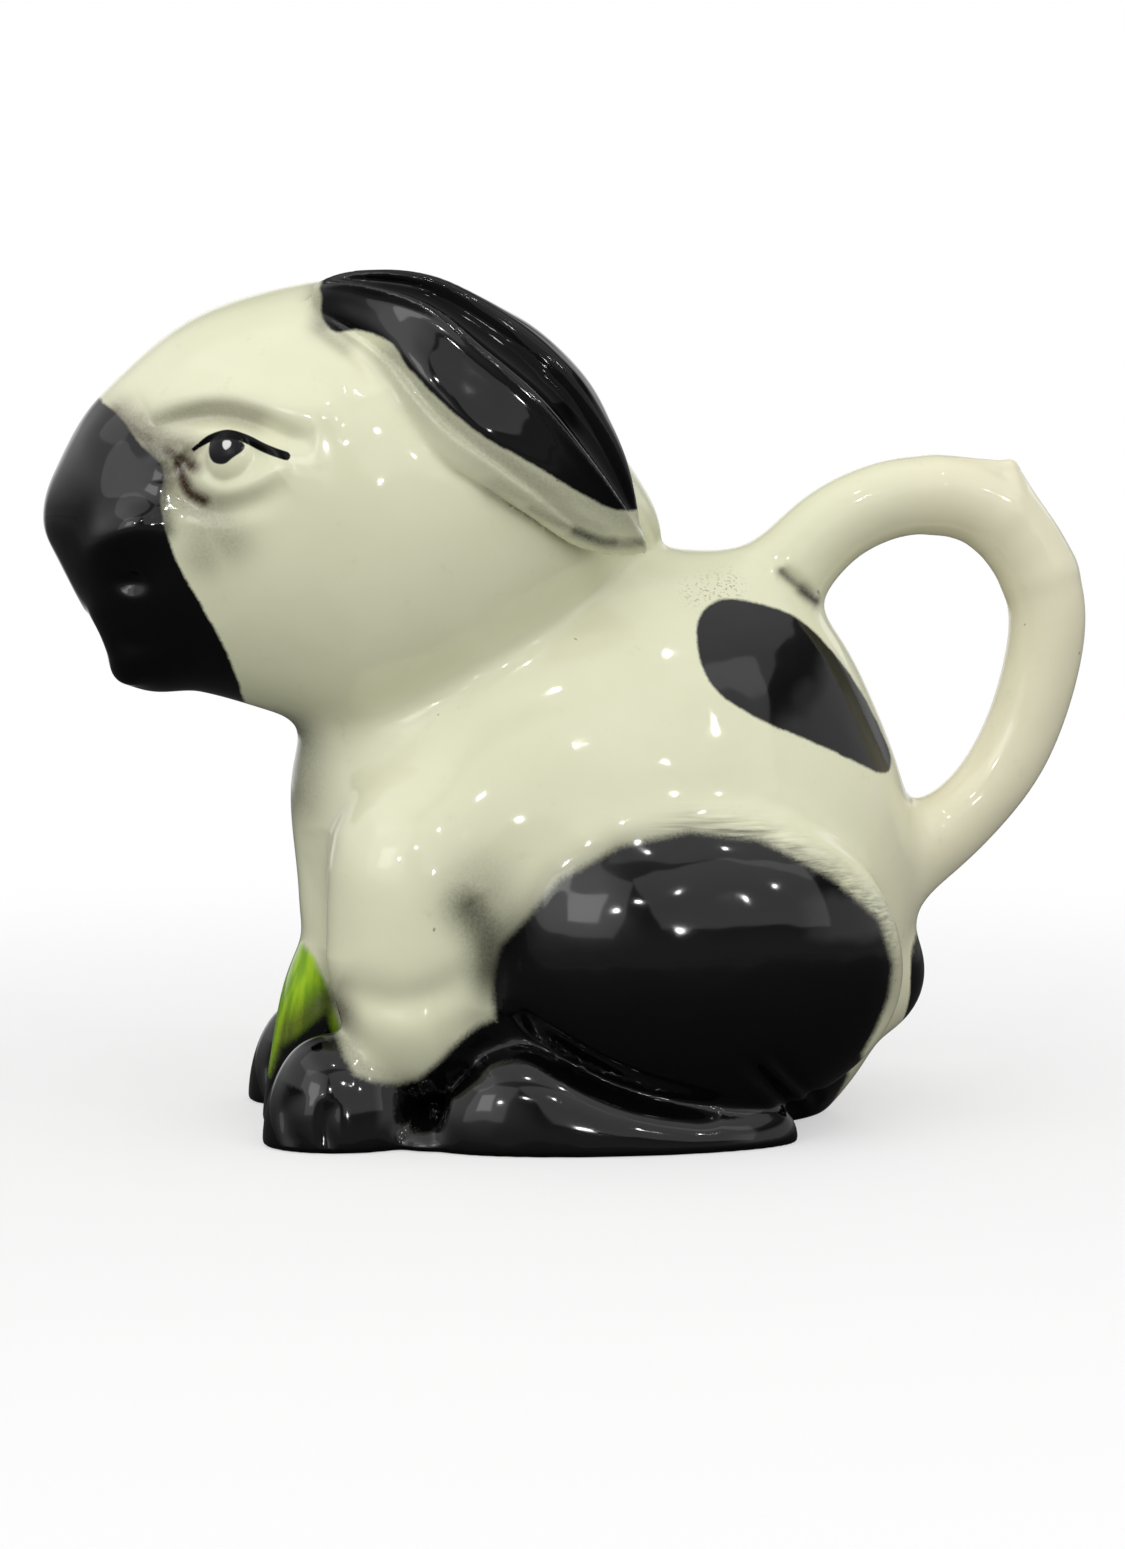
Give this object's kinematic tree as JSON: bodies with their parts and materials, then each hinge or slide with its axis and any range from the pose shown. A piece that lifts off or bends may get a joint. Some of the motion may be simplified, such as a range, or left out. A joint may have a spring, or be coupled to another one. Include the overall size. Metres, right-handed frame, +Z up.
{
  "type": "rabbit creamer",
  "caption": "Hollow glazed-ceramic creamer in the form of a crouching rabbit: fills between the ears, pours from the mouth, and has a loop handle with a thumb rest at the back.",
  "frame": {"origin": "centre of the base plate's underside, on the table", "axes": "+Z up, +X back towards the handle (the nose points to -X), +Y to the rabbit's right"},
  "size_m": [0.1415, 0.068, 0.1129],
  "materials": {
    "cream_glaze": "gloss",
    "black_glaze": "gloss",
    "green_glaze": "gloss",
    "bare_bisque": "matte"
  },
  "bodies": {
    "root": {"body_shell": "cream_glaze", "base_plate": "bare_bisque", "head_shell": "cream_glaze", "left_ear": "black_glaze", "right_ear": "black_glaze", "left_eye": "black_glaze", "right_eye": "black_glaze", "handle": "cream_glaze", "tail": "black_glaze", "left_foreleg": "cream_glaze", "right_foreleg": "cream_glaze", "left_forepaw": "black_glaze", "right_forepaw": "black_glaze", "left_haunch": "black_glaze", "right_haunch": "black_glaze", "left_hind_foot": "black_glaze", "right_hind_foot": "black_glaze", "lettuce_leaf": "green_glaze"}
  },
  "joints": []
}
